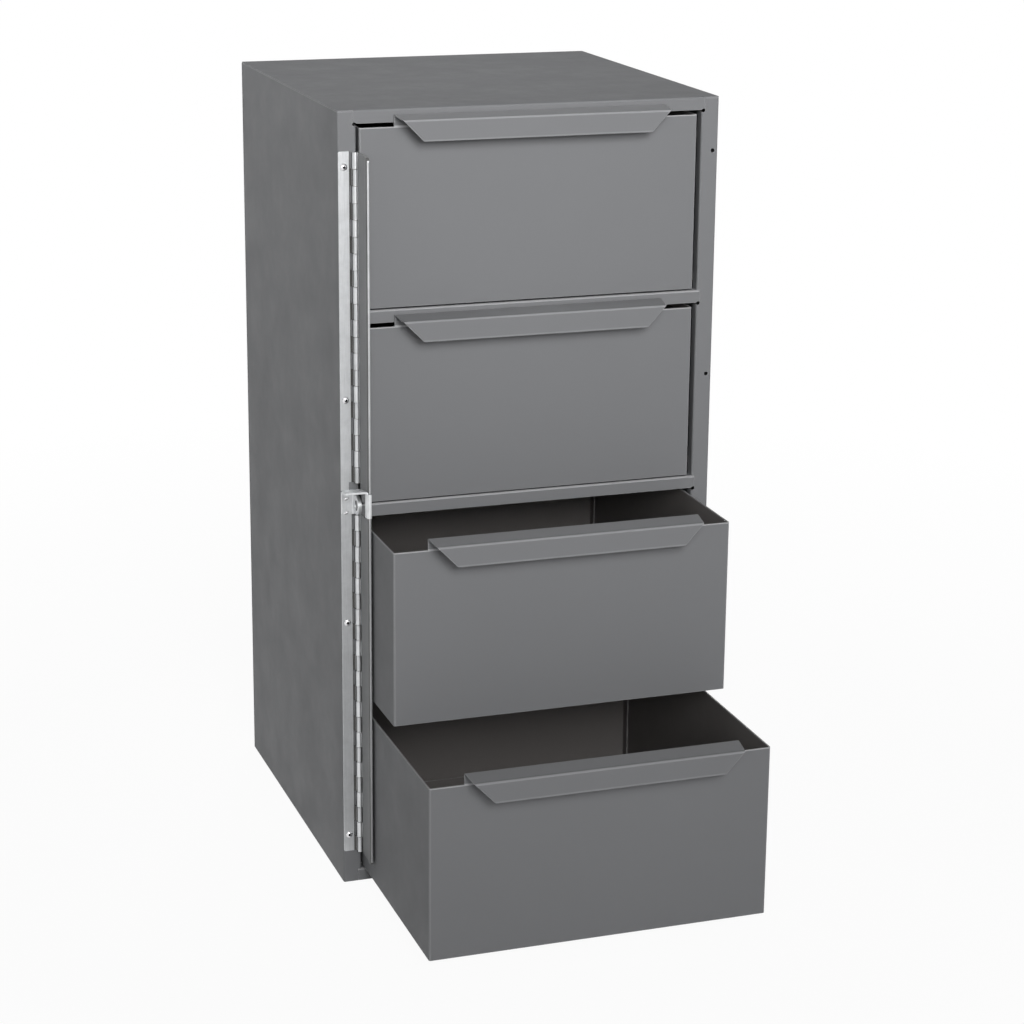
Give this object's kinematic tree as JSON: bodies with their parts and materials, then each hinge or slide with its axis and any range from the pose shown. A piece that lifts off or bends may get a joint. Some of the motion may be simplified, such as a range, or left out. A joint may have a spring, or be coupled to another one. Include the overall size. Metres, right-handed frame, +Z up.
{
  "type": "small parts cabinet",
  "caption": "Folded sheet steel parts cabinet with sliding drawers, full-width handles and a hinged bar that locks them with a padlock.",
  "frame": {"origin": "centre of the cabinet's footprint, on the floor", "axes": "+Z up, the drawers open towards -Y, the locking bar is on the left at -X"},
  "size_m": [0.3105, 0.5013, 0.6159],
  "materials": {
    "cabinet_paint": "semi-gloss grey enamel",
    "drawer_paint": "semi-gloss grey enamel",
    "bar_paint": "semi-gloss grey enamel",
    "zinc_plate": "bright zinc plate",
    "pin_steel": "drawn wire",
    "rivet_aluminium": "bright"
  },
  "bodies": {
    "cabinet": {"left_side": "cabinet_paint", "right_side": "cabinet_paint", "top_panel": "cabinet_paint", "back_panel": "cabinet_paint", "bottom_panel": "cabinet_paint", "shelf_1": "cabinet_paint", "shelf_2": "cabinet_paint", "shelf_3": "cabinet_paint", "shelf_4": "cabinet_paint", "runner_1_left": "zinc_plate", "runner_1_right": "zinc_plate", "runner_2_left": "zinc_plate", "runner_2_right": "zinc_plate", "runner_3_left": "zinc_plate", "runner_3_right": "zinc_plate", "runner_4_left": "zinc_plate", "runner_4_right": "zinc_plate", "hinge_leaf_upper": "zinc_plate", "hinge_leaf_lower": "zinc_plate", "hinge_pin_upper": "pin_steel", "hinge_pin_lower": "pin_steel", "padlock_eye": "zinc_plate", "leaf_rivets": "rivet_aluminium"},
    "locking_bar": {"locking_bar": "bar_paint", "bar_tab": "zinc_plate"},
    "drawer_1": {"drawer_1_shell": "drawer_paint", "drawer_1_pan": "drawer_paint", "drawer_1_back": "drawer_paint"},
    "drawer_2": {"drawer_2_shell": "drawer_paint", "drawer_2_pan": "drawer_paint", "drawer_2_back": "drawer_paint"},
    "drawer_3": {"drawer_3_shell": "drawer_paint", "drawer_3_pan": "drawer_paint", "drawer_3_back": "drawer_paint"},
    "drawer_4": {"drawer_4_shell": "drawer_paint", "drawer_4_pan": "drawer_paint", "drawer_4_back": "drawer_paint"}
  },
  "joints": [
    {"name": "bar_hinge", "type": "hinge", "parent": "cabinet", "child": "locking_bar", "pos_m": [-0.14, -0.1565, 0.3064], "axis": [0, 0, -1], "range_deg": [0, 90]},
    {"name": "drawer_1_slide", "type": "slide", "parent": "cabinet", "child": "drawer_1", "axis": [0, -1, 0], "range_m": [0, 0.225]},
    {"name": "drawer_2_slide", "type": "slide", "parent": "cabinet", "child": "drawer_2", "axis": [0, -1, 0], "range_m": [0, 0.225]},
    {"name": "drawer_3_slide", "type": "slide", "parent": "cabinet", "child": "drawer_3", "axis": [0, -1, 0], "range_m": [-0.086, 0.139]},
    {"name": "drawer_4_slide", "type": "slide", "parent": "cabinet", "child": "drawer_4", "axis": [0, -1, 0], "range_m": [-0.176, 0.049]}
  ]
}
